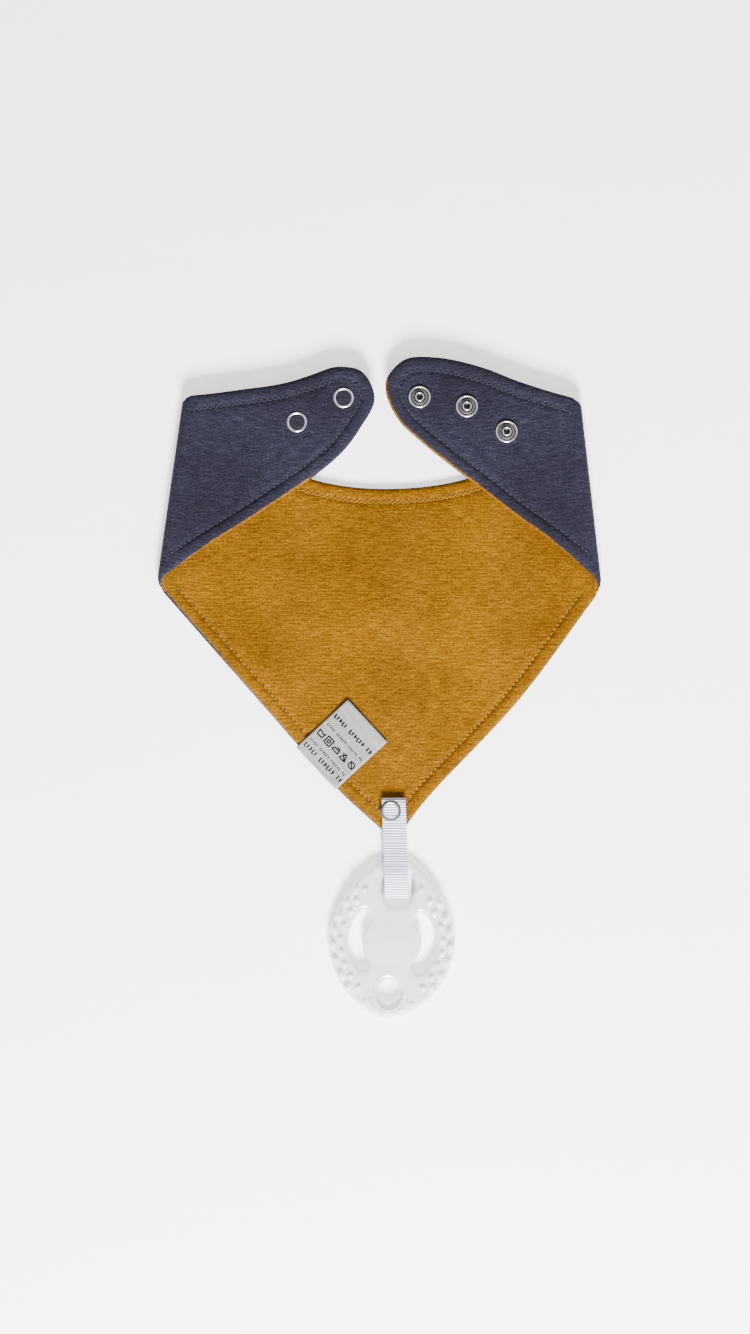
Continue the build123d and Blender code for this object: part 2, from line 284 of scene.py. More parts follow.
def mesh_object(name, verts, faces, materials, indices=None, uvs=None):
    """A smooth-shaded mesh piece from millimetre points."""
    mesh = bpy.data.meshes.new(name)
    mesh.from_pydata((np.asarray(verts) * MM).tolist(), [], [tuple(int(i) for i in f) for f in faces])
    for material in materials:
        mesh.materials.append(material)
    if indices is not None:
        mesh.polygons.foreach_set("material_index", np.asarray(indices, np.int32))
    if uvs is not None:
        layer = mesh.uv_layers.new(name="flat")
        loops = np.empty(len(mesh.loops), np.int32)
        mesh.loops.foreach_get("vertex_index", loops)
        layer.data.foreach_set("uv", np.asarray(uvs, np.float32)[loops].ravel())
    mesh.polygons.foreach_set("use_smooth", np.ones(len(mesh.polygons), bool))
    mesh.validate()
    mesh.update()
    return linked(name, mesh)


def closed_skin(points, faces, shared, upper, lower):
    """Upper and lower skins joined round their shared points, with walls where the edge isn't shared."""
    count = len(points)
    below = np.arange(count)
    split = np.flatnonzero(~shared)
    below[split] = count + np.arange(len(split))
    verts = np.vstack([upper, lower[split]])
    flat = np.vstack([points, points[split]])
    edges = {}
    for face in faces:
        for a, b in ((face[0], face[1]), (face[1], face[2]), (face[2], face[0])):
            edges[(int(a), int(b))] = edges.get((int(a), int(b)), 0) + 1
    walls = []
    for a, b in edges:
        if (b, a) not in edges and not (shared[a] and shared[b]):
            wall = []
            for i in (b, a, int(below[a]), int(below[b])):
                if i not in wall:
                    wall.append(i)
            walls.append(wall)
    return verts, flat, [list(f) for f in faces], [list(below[f][::-1]) for f in faces], walls


def noise_at(*axes):
    """Smooth noise at each point; an axis is an array or one number."""
    return np.array([noise.noise(Vector(p)) for p in np.broadcast(*axes)])


class Cloth:
    """A panel of the flat pattern, with its hem, its snaps and its place in the folded bib."""

    def __init__(self, loop, hem, snaps, place, quiet):
        self.loop = loop
        self.hem = hem
        self.hem_starts = loop[hem]
        self.hem_ends = np.roll(loop, -1, axis=0)[hem]
        self.snaps = np.array(snaps, float)
        self.place = place
        self.quiet = quiet

    def relief(self, points, seed):
        """Height of each skin over the plain half thickness: puffed hem, sunk seam, puckers and waves."""
        edge, run = nearest(points, self.hem_starts, self.hem_ends)
        puff = 0.50 * np.sin(np.pi * np.clip(edge / HEM, 0, 1)) ** 0.8
        seam = -0.80 * np.exp(-((edge - HEM) / 0.8) ** 2)
        wobble = noise_at(run / 9, seed, 0)
        pucker = np.sin(2 * np.pi * run / 5.3 + 5 * wobble) * (0.14 + 0.22 * np.abs(wobble))
        pucker *= np.exp(-((edge - HEM + 0.5) / 3.0) ** 2)
        waves = noise_at(points[:, 0] / 34, points[:, 1] / 22, seed)
        small = noise_at(points[:, 0] / 9, points[:, 1] / 7, seed + 7)
        height = puff + seam + pucker + (0.55 * waves + 0.16 * small) * smoothstep(edge, 1, 12)
        for snap in self.snaps:
            r = np.linalg.norm(points - snap, axis=1)
            height *= smoothstep(r, 4.9, 11.0)
            height -= 0.45 * np.exp(-((r - 5.6) / 1.5) ** 2)
        return edge, height * self.quiet(points)

    def skins(self, points):
        """Places on the inner (mustard) and outer (navy) skins over flat points."""
        edge, high = self.relief(points, 0.0)
        _, low = self.relief(points, 3.0)
        roll = np.sqrt(1 - (1 - np.clip(edge / EDGE_ROUND, 0, 1)) ** 2)
        inner = HALF_T * roll + high * roll
        outer = HALF_T * roll + low * roll
        return self.place(points, inner), self.place(points, -outer)


def main_place(points, offset):
    """The main panel lies flat: the outer skin on the table and the inner skin under the wings."""
    z = np.clip(MAIN_MID_Z - LOW_SKIN_DROP + offset, 0.0, MAIN_TOP_LIMIT)
    return np.column_stack([points, z])


class Fold:
    """A side fold. Flat points are (distance past the hinge line, place along it)."""

    def __init__(self, ends):
        low, high = (np.array(p, float) for p in ends)
        self.along = (high - low) / np.linalg.norm(high - low)
        right = np.array([self.along[1], -self.along[0]])
        self.out = right * (-1 if low[0] < 0 else 1)
        self.start = low - self.out * FOLD_R

    def hinge(self, y):
        return self.start + self.along * ((y - self.start[1]) / self.along[1])

    def main_flat(self, points):
        p = np.asarray(points, float) - self.start
        return np.stack([p @ self.out, p @ self.along], 1)

    def wing_flat(self, points):
        flat = self.main_flat(points)
        flat[:, 0] = FOLD_LENGTH - flat[:, 0]
        return flat

    def place(self, flat, offset):
        d, t = flat[:, 0], flat[:, 1]
        turn = np.clip(d / FOLD_MID_R, 0, math.pi)
        offset = np.where(turn < math.pi / 2, np.minimum(offset, HALF_T), offset)
        radius = FOLD_MID_R - offset
        reach = radius * np.sin(turn) - np.clip(d - FOLD_LENGTH, 0, None)
        z = HINGE_Z - radius * np.cos(turn)
        z = np.where(d > FOLD_LENGTH, np.maximum(z, WING_LOW_LIMIT), z)
        ground = self.start + self.along * t[:, None] + self.out * reach[:, None]
        return np.column_stack([ground, z])


def main_loop(left, right):
    """The main panel's outline, anticlockwise from the left fold's lower end, and which segments are hem."""
    left_top, left_low = [left.hinge(y) for y in LEFT_MAIN_ENDS]
    right_top, right_low = [right.hinge(y) for y in RIGHT_MAIN_ENDS]
    parts = [
        (smooth_curve([left_low] + LOWER_LEFT_EDGE), True),
        (smooth_curve([LOWER_LEFT_EDGE[-1]] + TIP + [LOWER_RIGHT_EDGE[0]], 0.8), True),
        (smooth_curve(LOWER_RIGHT_EDGE + [right_low]), True),
        (straight(right_low, right_top, HINGE_STEPS), False),
        (smooth_curve([right_top] + NECKLINE + [left_top]), True),
        (straight(left_top, left_low, HINGE_STEPS), False),
    ]
    return chain(parts)


def chain(parts):
    """One closed loop from end-to-end curves, with a flag for each segment."""
    loop = np.vstack([curve[:-1] for curve, _ in parts])
    flags = np.concatenate([np.full(len(curve) - 1, flag) for curve, flag in parts])
    return loop, flags


def wing_loop(fold, main_ends, wing_ends, edge):
    """The wing's flat outline with its half turn, starting at the hinge line's lower end."""
    main_top, main_low = fold.main_flat([fold.hinge(y) for y in main_ends])
    top, low = [fold.hinge(y) for y in wing_ends]
    curve = fold.wing_flat(smooth_curve([low] + edge[::-1] + [top]))
    parts = [
        (straight(main_low, curve[0], 7), True),
        (curve, True),
        (straight(curve[-1], main_top, 7), True),
        (straight(main_top, main_low, HINGE_STEPS), False),
    ]
    return chain(parts)


def outer_roll(centres, edge):
    """Where the outer cloth shows as a thin line on the lower left edge, less and less towards the tip."""
    share = smoothstep(centres[:, 1], -20, 40) * (centres[:, 0] < -30) * (centres[:, 1] < 60)
    return edge < 1.2 * share


def cloth_object(name, cloth, seed_uv, rim_width, rim_side, strip=None):
    """The panel as one closed mesh: slot 0 is the inner skin, slot 1 the outer one."""
    points, faces, on_edge = triangulate([cloth.loop], HEM_RINGS, GRID, strip)
    hem_gap = nearest(points, cloth.hem_starts, cloth.hem_ends)[0]
    shared = on_edge & (hem_gap < 1e-4)
    inner, outer = cloth.skins(points)
    verts, flat, up, down, walls = closed_skin(points, faces, shared, inner, outer)
    centres = points[faces].mean(1)
    edge, _ = nearest(centres, cloth.hem_starts, cloth.hem_ends)
    rolled = edge < rim_width * rim_side(centres)
    down_material = np.where(rolled, 0, 1)
    up_material = np.where((edge < 0.4) & ~rolled | outer_roll(centres, edge), 1, 0)
    indices = np.concatenate([up_material, down_material, np.zeros(len(walls), int)])
    faces = up + down + walls
    if np.linalg.det(np.stack([inner[faces[0][1]] - inner[faces[0][0]],
                               inner[faces[0][2]] - inner[faces[0][0]],
                               inner[faces[0][0]] - outer[faces[0][0]]])) < 0:
        faces = [f[::-1] for f in faces]
    return mesh_object(name, verts, faces, [mustard, navy], indices, flat / 400 + seed_uv)


# ---------------- stitches

def seam_line(cloth, inset):
    """A line inset from the hem."""
    line = (cloth.loop + inward_normals(cloth.loop) * inset)[cloth.hem]
    gap, _ = nearest(line, cloth.hem_starts, cloth.hem_ends)
    return line[gap > inset * 0.97]


def resample(line, pitch):
    lengths = np.linalg.norm(np.diff(line, axis=0), axis=1)
    total = np.concatenate([[0], np.cumsum(lengths)])
    marks = np.arange(0, total[-1], pitch)
    return np.stack([np.interp(marks, total, line[:, i]) for i in (0, 1)], 1)


# Share of the stitch's length, share of its radius, and lift
THREAD_PROFILE = ((0, 0.25, -0.10), (0.12, 0.8, 0.02), (0.5, 1, 0.10), (0.88, 0.8, 0.02), (1, 0.25, -0.10))


def stitch_mesh(ends, radius=0.28, sides=6):
    """Short rounded threads between pairs of points on the cloth, with a dark disc at each start: painted
    shade for the needle hole.
    """
    verts, faces, kinds = [], [], []
    for a, b, up in ends:
        along = b - a
        length = np.linalg.norm(along)
        if not 0.3 < length < 6:
            continue
        along = along / length
        across = np.cross(along, up)
        for share, size, lift in THREAD_PROFILE:
            centre = a + along * length * share + up * lift
            for i in range(sides):
                angle = 2 * math.pi * i / sides
                verts.append(centre + radius * size * (math.cos(angle) * across + math.sin(angle) * up))
        first = len(verts) - 5 * sides
        for ring in range(4):
            for i in range(sides):
                j = (i + 1) % sides
                base = first + ring * sides
                faces.append((base + i, base + j, base + sides + j, base + sides + i))
        faces.append(tuple(first + i for i in range(sides))[::-1])
        faces.append(tuple(first + 4 * sides + i for i in range(sides)))
        kinds += [0] * (4 * sides + 2)
        # The dark disc is painted shade for the needle hole
        hole = len(verts)
        for i in range(sides):
            angle = 2 * math.pi * i / sides
            rim = math.cos(angle) * along + math.sin(angle) * across
            verts.append(a - along * 0.42 + up * 0.12 + HOLE_SHADE_R * rim)
        faces.append(tuple(hole + i for i in range(sides)))
        kinds.append(1)
    return np.array(verts), faces, kinds


# Material slot 1, the hole, is painted shade for the needle holes
def stitch_object(name, ends, thread, hole):
    verts, faces, kinds = stitch_mesh(ends)
    return mesh_object(name, verts, faces, [thread, hole], kinds)


def stitches(cloth, line, pitch, zigzag, skin):
    """Ends of the stitches along a flat line, on skin 0 (inner) or 1 (outer)."""
    marks = resample(line, pitch)
    if zigzag:
        side = np.where(np.arange(len(marks)) % 2 == 0, zigzag, -zigzag)
        marks = marks + left_normals(marks) * side[:, None]
    starts, stops = marks[:-1], marks[1:]
    gap = 0.04 if zigzag else 0.13
    starts, stops = starts + (stops - starts) * gap, stops - (stops - starts) * gap
    both = np.vstack([starts, stops])
    nudged = both + np.array([0.05, 0.0])
    turned = both + np.array([0.0, 0.05])
    at, at_x, at_y = (cloth.skins(p)[skin] for p in (both, nudged, turned))
    up = np.cross(at_x - at, at_y - at)
    up /= np.maximum(np.linalg.norm(up, axis=1), 1e-12)[:, None]
    middle = cloth.place(both, np.zeros(len(both)))
    up *= np.sign(((at - middle) * up).sum(1))[:, None]
    half = len(starts)
    lift = up[:half] * STITCH_LIFT
    return [(at[i] + lift[i], at[half + i] + lift[i], up[i]) for i in range(half)]


# ---------------- materials

def material(name, colour, rough, **inputs):
    made = bpy.data.materials.new(name)
    made.use_nodes = True
    shader = made.node_tree.nodes["Principled BSDF"]
    shader.inputs["Base Color"].default_value = (*colour, 1)
    shader.inputs["Roughness"].default_value = rough
    for key, value in inputs.items():
        shader.inputs[key.replace("_", " ")].default_value = value
    return made


def textured(name, colour, rough, **inputs):
    """A material with its node tree and its shader."""
    made = material(name, colour, rough, **inputs)
    return made, made.node_tree, made.node_tree.nodes["Principled BSDF"]


def mapped(tree, source, scale, turn=0.0):
    """Texture coordinates, scaled."""
    coordinates = tree.nodes.new("ShaderNodeTexCoord")
    mapping = tree.nodes.new("ShaderNodeMapping")
    mapping.inputs["Scale"].default_value = scale
    mapping.inputs["Rotation"].default_value = (0, 0, turn)
    tree.links.new(coordinates.outputs[source], mapping.inputs["Vector"])
    return mapping.outputs["Vector"]


def noise_value(tree, source, scale, detail=3.0, rough=0.55):
    vector = mapped(tree, source, scale)
    made = tree.nodes.new("ShaderNodeTexNoise")
    made.inputs["Scale"].default_value = 1.0
    made.inputs["Detail"].default_value = detail
    made.inputs["Roughness"].default_value = rough
    tree.links.new(vector, made.inputs["Vector"])
    return made.outputs["Fac"]


def ramp(tree, value, stops):
    made = tree.nodes.new("ShaderNodeValToRGB")
    elements = made.color_ramp.elements
    while len(elements) < len(stops):
        elements.new(0.5)
    for element, (place, colour) in zip(elements, stops):
        element.position = place
        element.color = (*colour, 1)
    tree.links.new(value, made.inputs["Fac"])
    return made.outputs["Color"]


def multiplied(tree, a, b):
    made = tree.nodes.new("ShaderNodeMix")
    made.data_type = "RGBA"
    made.blend_type = "MULTIPLY"
    made.inputs["Factor"].default_value = 1.0
    tree.links.new(a, made.inputs["A"])
    tree.links.new(b, made.inputs["B"])
    return made.outputs["Result"]


def add_bump(tree, shader, values, distance):
    """Bumps from several heights added together, each with its own share."""
    total = None
    for value, share in values:
        scaled = tree.nodes.new("ShaderNodeMath")
        scaled.operation = "MULTIPLY"
        scaled.inputs[1].default_value = share
        tree.links.new(value, scaled.inputs[0])
        if total is None:
            total = scaled.outputs[0]
        else:
            joined = tree.nodes.new("ShaderNodeMath")
            joined.operation = "ADD"
            tree.links.new(total, joined.inputs[0])
            tree.links.new(scaled.outputs[0], joined.inputs[1])
            total = joined.outputs[0]
    bump = tree.nodes.new("ShaderNodeBump")
    bump.inputs["Distance"].default_value = distance
    bump.inputs["Strength"].default_value = 0.8
    tree.links.new(total, bump.inputs["Height"])
    tree.links.new(bump.outputs["Normal"], shader.inputs["Normal"])


def wave_value(tree, source, scale, direction, bands=1.0, distortion=0.0, turn=0.0):
    vector = mapped(tree, source, scale, turn)
    made = tree.nodes.new("ShaderNodeTexWave")
    made.bands_direction = direction
    made.inputs["Scale"].default_value = bands
    made.inputs["Distortion"].default_value = distortion
    made.inputs["Detail"].default_value = 1.0
    tree.links.new(vector, made.inputs["Vector"])
    return made.outputs["Fac"]


def jersey(name, dark, plain, light, streak, sheen_tint):
    """Cotton jersey: knitted loops as a fine bump, streaks of yarn colour across, large random patches of
    painted shade, soft sheen.
    """
    made, tree, shader = textured(name, plain, 0.92, Sheen_Weight=0.04, Sheen_Roughness=0.5,
                                  Sheen_Tint=(*sheen_tint, 1), Specular_IOR_Level=0.06)
    streaks = noise_value(tree, "UV", (70, 520, 1), 5.0, 0.66)
    fine = noise_value(tree, "UV", (380, 470, 1), 4.0, 0.75)
    patches = noise_value(tree, "UV", (9, 12, 1), 3.0)
    yarn = ramp(tree, streaks, [(0.5 - streak, dark), (0.5, plain), (0.5 + streak, light)])
    # Painted shade: large random darker patches stand in for the uneven light over the cloth
    patch_shade = ramp(tree, patches, [(0.32, (0.66, 0.64, 0.63)), (0.68, (1.0, 1.0, 1.0))])
    speckle = ramp(tree, fine, [(0.36, (0.36, 0.34, 0.33)), (0.62, (1.0, 1.0, 1.0))])
    colour = multiplied(tree, yarn, patch_shade)
    colour = multiplied(tree, colour, speckle)
    tree.links.new(colour, shader.inputs["Base Color"])
    wales = wave_value(tree, "UV", (130, 130, 1), "X", 1.0, 0.6)
    courses = wave_value(tree, "UV", (190, 190, 1), "Y", 1.0, 0.8)
    add_bump(tree, shader, [(wales, 0.45), (courses, 0.4), (fine, 0.7), (streaks, 0.5)], 0.00035)
    return made


def thread_material(name, colour):
    made, tree, shader = textured(name, colour, 0.75, Specular_IOR_Level=0.15)
    twist = wave_value(tree, "Object", (900, 900, 900), "DIAGONAL", turn=0.6)
    add_bump(tree, shader, [(twist, 1.0)], 0.0001)
    return made


def metal_material():
    """Nickel-plated brass with faint handling marks."""
    made, tree, shader = textured("snap_nickel", (0.86, 0.85, 0.83), 0.2, Metallic=1.0)
    marks = noise_value(tree, "Object", (900, 900, 900), 4.0, 0.7)
    smudge = noise_value(tree, "Object", (220, 220, 220), 3.0)
    rough = ramp(tree, smudge, [(0.3, (0.17, 0.17, 0.17)), (0.7, (0.34, 0.34, 0.34))])
    tree.links.new(rough, shader.inputs["Roughness"])
    add_bump(tree, shader, [(marks, 1.0)], 0.000004)
    return made


def ribbon_material():
    made, tree, shader = textured("ribbon_white", (0.72, 0.75, 0.80), 0.55,
                                  Sheen_Weight=0.35, Sheen_Roughness=0.35)
    weave = wave_value(tree, "UV", (1, 0.3, 1), "X", 9.0, 0.4)
    shade = noise_value(tree, "UV", (3, 1.5, 1))
    ribs = wave_value(tree, "UV", (1, math.pi / 10, 1), "Y", 1.0)
    tone = ramp(tree, shade, [(0.3, (0.90, 0.90, 0.92)), (0.7, (1.0, 1.0, 1.0))])
    # Painted shade: dark bluish lines along the grooves between the ribs
    lines = ramp(tree, ribs, [(0.15, (0.13, 0.16, 0.30)), (0.60, (0.86, 0.88, 0.94))])
    tree.links.new(multiplied(tree, lines, tone), shader.inputs["Base Color"])
    add_bump(tree, shader, [(weave, 1.0)], 0.00006)
    return made


def satin_material():
    made, tree, shader = textured("label_white_satin", (0.32, 0.31, 0.30), 0.5,
                                  Sheen_Weight=0.2, Anisotropic=0.4)
    weft = wave_value(tree, "UV", (1, 1, 1), "Y", 26.0, 0.5)
    tone = noise_value(tree, "UV", (2, 14, 1))
    tree.links.new(ramp(tree, tone, [(0.3, (0.15, 0.148, 0.143)), (0.7, (0.25, 0.244, 0.235))]),
                   shader.inputs["Base Color"])
    add_bump(tree, shader, [(weft, 1.0)], 0.00004)
    return made


def silicone_material():
    """Clear silicone, slightly cloudy."""
    made, tree, shader = textured("silicone_clear", (0.88, 0.91, 0.94), 0.1, Coat_Weight=0.8,
                                  Coat_Roughness=0.03, Transmission_Weight=0.62, IOR=1.41,
                                  Subsurface_Weight=0.2, Subsurface_Radius=(0.01, 0.01, 0.01))
    cloud = noise_value(tree, "Object", (90, 90, 90))
    rough = ramp(tree, cloud, [(0.3, (0.05, 0.05, 0.05)), (0.7, (0.12, 0.12, 0.12))])
    tree.links.new(rough, shader.inputs["Roughness"])
    return made


def floor_material():
    made, tree, shader = textured("floor_pale", (0.88, 0.88, 0.89), 0.7)
    grain = noise_value(tree, "Object", (6, 260, 1), 4.0)
    tone = ramp(tree, grain, [(0.3, (0.87, 0.87, 0.88)), (0.7, (0.90, 0.90, 0.905))])
    tree.links.new(tone, shader.inputs["Base Color"])
    shader.inputs["Emission Color"].default_value = (1, 1, 1, 1)
    shader.inputs["Emission Strength"].default_value = 1.0
    return made


# ---------------- thin shells

def shell_faces(rows, columns):
    """Faces of a closed shell: two layers of a grid of points, joined round their border."""
    layer = rows * columns
    faces = []
    for r in range(rows - 1):
        for c in range(columns - 1):
            a = r * columns + c
            faces.append((a, a + 1, a + columns + 1, a + columns))
            faces.append((layer + a + 1, layer + a, layer + a + columns, layer + a + columns + 1))
    border = [(0, c) for c in range(columns - 1)] + [(r, columns - 1) for r in range(rows - 1)]
    border += [(rows - 1, c) for c in range(columns - 1, 0, -1)] + [(r, 0) for r in range(rows - 1, 0, -1)]
    border = [r * columns + c for r, c in border]
    for a, b in zip(border, border[1:] + border[:1]):
        faces.append((b, a, layer + a, layer + b))
    return faces


# ---------------- label

def label_place(u, v):
    """From the label's own axes (u along the sewn side, v towards it) to the bib."""
    c, s = math.cos(LABEL_TURN), math.sin(LABEL_TURN)
    return np.stack([LABEL_CENTRE[0] + u * c - v * s, LABEL_CENTRE[1] + u * s + v * c], 1)


def label_height(u, v):
    """The sewn side lies flat; the free side lifts a little, with a soft wave across."""
    free = smoothstep(-v, -6.0, LABEL_L / 2)
    return 3.22 + free * (0.45 + 0.25 * np.sin(u / 6.0)) + 0.05 * np.sin(v / 3.1 + u / 9)


def label_piece():
    """The satin flap with its turned-over top band."""
    us = np.linspace(-LABEL_W / 2, LABEL_W / 2, 29)
    vs = np.linspace(-LABEL_L / 2, LABEL_L / 2, 37)
    verts, uvs = [], []
    for side, lift in ((0, 0.11), (1, -0.11)):
        for v in vs:
            for u in us:
                band = 0.22 if v > LABEL_L / 2 - 5.0 and side == 0 else 0.0
                x, y = label_place(np.array([u]), np.array([v]))[0]
                verts.append((x, y, label_height(u, v) + lift + band))
                uvs.append((u / 30, v / 30))
    return mesh_object("care_label_flap", verts, shell_faces(len(vs), len(us)), [satin], None, uvs)


def mark_strip(path, width):
    """A thin printed line along a path on the label, as quads."""
    path = np.array(path, float)
    side = left_normals(path) * width / 2
    edge = np.vstack([path + side, path - side])
    count = len(path)
    quads = [(i + 1, i, count + i, count + i + 1) for i in range(count - 1)]
    xy = label_place(edge[:, 0], edge[:, 1])
    z = label_height(edge[:, 0], edge[:, 1]) + 0.135
    return np.column_stack([xy, z]), quads


def dense(points, step=0.35):
    """The polyline with extra points, so that a mark follows the label's waves."""
    found = []
    for a, b in zip(points, points[1:]):
        count = max(1, int(math.dist(a, b) / step))
        found += [(a[0] + (b[0] - a[0]) * i / count, a[1] + (b[1] - a[1]) * i / count) for i in range(count)]
    return found + [points[-1]]


def greeked(v, half_width, pitch, height, width):
    """A row of plain upright and level strokes that stands for a line of print without spelling anything."""
    strokes = []
    for number, u in enumerate(np.arange(-half_width, half_width, pitch)):
        if number % 7 == 5:
            continue
        low, high = v - height / 2, v + height / 2
        strokes.append(([(u, low), (u, high)], width))
        if number % 3 != 1:
            level = (low, high, v)[number % 3]
            strokes.append(([(u, level), (u + pitch * 0.6, level)], width * 0.8))
    return strokes


def label_marks():
    """Generic print: rows of plain strokes for words, five plain care symbols, and marks of the seam."""
    circle = [(math.cos(t) * 1.5, math.sin(t) * 1.5) for t in np.linspace(0, 2 * math.pi, 25)]
    symbols = [
        [[(-1.9, 1.3), (-1.4, -1.4), (1.4, -1.4), (1.9, 1.3)],
         [(-1.7, 0.6), (-0.6, 1.0), (0.6, 0.4), (1.7, 0.8)]],
        [[(-1.8, -1.8), (1.8, -1.8), (1.8, 1.8), (-1.8, 1.8), (-1.8, -1.8)],
         [(x * 0.5, y * 0.5) for x, y in circle]],
        [[(-2.0, -1.2), (1.9, -1.2), (1.4, 1.1), (-0.5, 1.1)], [(-2.0, -1.2), (-1.3, 0.2), (1.6, 0.2)]],
        [[(-1.8, -1.4), (0, 1.9), (1.8, -1.4), (-1.8, -1.4)], [(-1.6, 1.5), (1.6, -1.6)]],
        [circle, [(-1.6, 1.6), (1.6, -1.6)]],
    ]
    text_rows = ((7.3, 12.0, 1.7, 2.0, 0.9), (1.9, 11.6, 1.1, 1.1, 0.5),
                 (-8.8, 12.0, 1.1, 1.1, 0.5), (-12.2, 12.0, 1.7, 2.2, 0.75))
    lines = [line for row in text_rows for line in greeked(*row)]
    seam_marks = [([(u, 13.6), (u + 1.1, 13.3)], 0.3) for u in np.arange(-12.0, 11.0, 2.4)]
    lines += seam_marks
    for number, shapes in enumerate(symbols):
        u = (number - 2) * SYMBOL_PITCH
        for shape in shapes:
            lines.append(([(u + x, SYMBOL_ROW + y) for x, y in shape], 0.72))
    verts, faces, first = [], [], 0
    for points, width in lines:
        strip, quads = mark_strip(dense(points), width)
        verts.append(strip)
        faces += [tuple(first + i for i in quad) for quad in quads]
        first += len(strip)
    return mesh_object("care_label_marks", np.vstack(verts), faces, [print_ink])


# ---------------- ribbon

def ribbon_centre(y, z):
    """The ribbon leans to one side as it goes down, and its back leg lies a little to the left."""
    back_leg = smoothstep(-z, -4.5, -1.5) * smoothstep(y, -100, -92)
    return 6.9 + (STRAP_HINGE_Y + 14 - y) * 0.032 - 0.9 * back_leg


def path_lengths(path):
    return np.concatenate([[0], np.cumsum(np.linalg.norm(np.diff(path, axis=0), axis=1))])


def ribbon_piece(name, corners, ragged=False):
    """Grosgrain along a (y, z) path: raised ribs across and finely scalloped selvedges."""
    rough = smooth_curve(corners, 0.4)
    total = path_lengths(rough)
    marks = np.arange(0, total[-1], RIB_PITCH / 6)
    path = np.stack([np.interp(marks, total, rough[:, i]) for i in (0, 1)], 1)
    path[-1] = rough[-1]
    up = -left_normals(path)
    across = np.linspace(-1, 1, 15)
    verts, uvs = [], []
    rib = 0.22 * np.abs(np.sin(np.pi * marks / RIB_PITCH))
    for side in (1, -1):
        for i, (y, z) in enumerate(path):
            scallop = RIBBON_W / 2 - 0.12 + 0.14 * abs(math.sin(math.pi * marks[i] / RIB_PITCH))
            for k in across:
                fray = 0.25 * noise.noise(Vector((k * 5, 2, 0))) if ragged and i == 0 else 0.0
                edge = 1 - 0.6 * max(0.0, abs(k) - 0.93) / 0.07
                offset = side * (RIBBON_T / 2 * edge + rib[i] * edge)
                crown = 0.10 * math.sin(2.2 * k + 0.12 * y)
                verts.append((ribbon_centre(y, z) + k * scallop, y + up[i][0] * offset + fray,
                              z + up[i][1] * offset + crown))
                uvs.append((k, marks[i] / RIB_PITCH))
    faces = [face[::-1] for face in shell_faces(len(path), len(across))]
    return mesh_object(name, verts, faces, [ribbon_white], None, uvs)


# ---------------- teether

def arc(centre, radius, angles):
    return [(centre[0] + radius * math.cos(a), centre[1] + radius * math.sin(a)) for a in angles]


def slot_loop(side):
    """A curved slot beside the dome, with round ends."""
    end, cap_r = SLOT_HALF_ANGLE, SLOT_W / 2
    upper, lower = arc((0, 0), SLOT_MID_R, (end, -end))
    points = arc((0, 0), SLOT_MID_R + cap_r, np.linspace(-end, end, 22))
    points += arc(upper, cap_r, end + np.linspace(0, math.pi, 9)[1:-1])
    points += arc((0, 0), SLOT_MID_R - cap_r, np.linspace(end, -end, 18))
    points += arc(lower, cap_r, -end + np.linspace(math.pi, 2 * math.pi, 9)[1:-1])
    return np.array(points) * (side, 1) + (0, SLOT_CENTRE_Y)


def strap_slot_loop():
    """The slot under the bar, rounder at its lower end, in the teether's own axes."""
    half_w, top, low, top_r, low_r = 6.6, 30.2, 15.0, 1.5, 5.0
    corners = (((half_w - top_r, top - top_r), top_r, 0), ((-half_w + top_r, top - top_r), top_r, 90),
               ((-half_w + low_r, low + low_r), low_r, 180), ((half_w - low_r, low + low_r), low_r, 270))
    points = []
    for centre, radius, start in corners:
        points += arc(centre, radius, [math.radians(start + a) for a in range(0, 91, 10)])
    return np.array(points) + (1.3, 0)


def bump_field(points, centres, radius, height):
    total = np.zeros(len(points))
    for centre in centres:
        r = np.linalg.norm(points - centre, axis=1) / radius
        total = np.maximum(total, height * np.sqrt(np.clip(1 - r * r, 0, 1)))
    return total


def bead_rows(loop):
    """Two staggered rows of beads along each side margin: large ones by the edge, small ones inside."""
    normals = inward_normals(loop)
    lengths = path_lengths(np.vstack([loop, loop[:1]]))[:-1]
    rows = []
    for inset, shift, radius, height in ((1.9, 1.0, 2.2, 2.3), (6.0, 4.8, 1.5, 1.8)):
        marks = np.arange(shift, lengths[-1], BEAD_PITCH)
        index = np.searchsorted(lengths, marks).clip(0, len(loop) - 1)
        places = loop[index] + normals[index] * inset
        at_side = (np.abs(places[:, 0]) > 12) & (places[:, 1] > -27) & (places[:, 1] < 24)
        rows.append((places[at_side], radius, height))
    return rows


